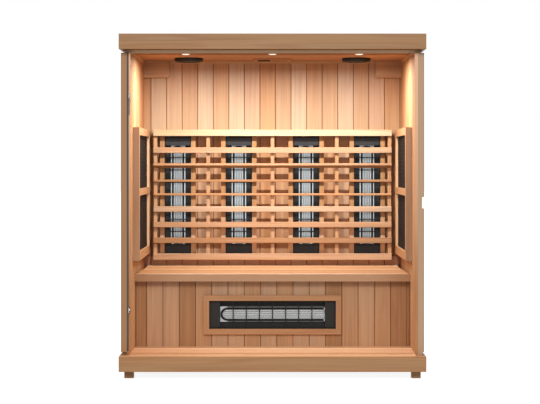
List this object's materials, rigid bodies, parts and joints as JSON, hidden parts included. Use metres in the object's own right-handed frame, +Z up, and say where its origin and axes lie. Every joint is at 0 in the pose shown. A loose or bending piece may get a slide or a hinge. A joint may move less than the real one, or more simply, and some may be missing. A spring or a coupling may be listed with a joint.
{
  "type": "infrared sauna cabin",
  "caption": "Wooden infrared sauna cabin with its front taken off: slatted backrest over tube heaters, side heating panels and a wide bench.",
  "frame": {"origin": "on the ground under the middle of the cabin's bounding box", "axes": "+X to the right seen from the open front, +Y to the back wall, +Z up; the open front faces -Y"},
  "size_m": [1.75, 1.1, 1.968],
  "materials": {
    "outside_wood": "satin",
    "inside_wood": "satin",
    "bench_wood": "satin",
    "black_metal": "satin",
    "black_plastic": "matte",
    "heater_tube": "satin",
    "heating_panel": "matte",
    "seal_rubber": "matte",
    "chrome": "polished",
    "white_lens": "gloss"
  },
  "bodies": {
    "cabin": {"base_frame": "outside_wood", "floor_panel": "bench_wood", "left_wall_shell": "outside_wood", "left_wall_lining": "inside_wood", "right_wall_shell": "outside_wood", "right_wall_lining": "inside_wood", "back_wall_shell": "outside_wood", "back_wall_lining": "inside_wood", "door_seal": "seal_rubber", "door_hinge_upper_plate": "black_metal", "door_hinge_lower_plate": "black_metal", "ceiling_panel": "inside_wood", "roof_fascia": "outside_wood", "roof_cover": "outside_wood", "power_unit": "black_metal", "ceiling_light_left": "white_lens", "ceiling_light_centre": "white_lens", "ceiling_light_right": "white_lens", "speaker_left": "black_plastic", "speaker_right": "black_plastic", "vent_frame": "inside_wood", "corner_cover_left": "inside_wood", "corner_cover_right": "inside_wood", "bench_seat_front": "bench_wood", "bench_seat_rear": "bench_wood", "bench_front_panel": "inside_wood", "bench_support": "inside_wood", "bench_heater_trim": "bench_wood", "bench_heater_housing": "black_metal", "bench_heater_tube": "heater_tube", "back_heater_frame": "inside_wood", "back_heater_1_housing": "black_metal", "back_heater_1_tube": "heater_tube", "back_heater_2_housing": "black_metal", "back_heater_2_tube": "heater_tube", "back_heater_3_housing": "black_metal", "back_heater_3_tube": "heater_tube", "back_heater_4_housing": "black_metal", "back_heater_4_tube": "heater_tube", "backrest_rib_1": "inside_wood", "backrest_rib_2": "inside_wood", "backrest_rib_3": "inside_wood", "backrest_rib_4": "inside_wood", "backrest_rib_5": "inside_wood", "backrest_slat_1": "bench_wood", "backrest_slat_2": "bench_wood", "backrest_slat_3": "bench_wood", "backrest_slat_4": "bench_wood", "backrest_slat_5": "bench_wood", "backrest_slat_6": "bench_wood", "backrest_slat_7": "bench_wood", "backrest_slat_8": "bench_wood", "backrest_slat_9": "bench_wood", "side_heater_left_frame": "bench_wood", "side_heater_left_panel": "heating_panel", "side_heater_right_frame": "bench_wood", "side_heater_right_panel": "heating_panel"},
    "vent_shutter": {"vent_shutter": "inside_wood"},
    "upper_hinge_leaf": {"door_hinge_upper_leaf": "chrome"},
    "lower_hinge_leaf": {"door_hinge_lower_leaf": "chrome"}
  },
  "joints": [
    {"name": "vent_slide", "type": "slide", "parent": "cabin", "child": "vent_shutter", "axis": [-1, 0, 0], "range_m": [0, 0.074]},
    {"name": "upper_hinge", "type": "hinge", "parent": "cabin", "child": "upper_hinge_leaf", "pos_m": [-0.82, -0.4848, 1.615], "axis": [0, 0, 1], "range_deg": [0, 90]},
    {"name": "lower_hinge", "type": "hinge", "parent": "cabin", "child": "lower_hinge_leaf", "pos_m": [-0.82, -0.4848, 0.391], "axis": [0, 0, 1], "range_deg": [0, 90]}
  ]
}
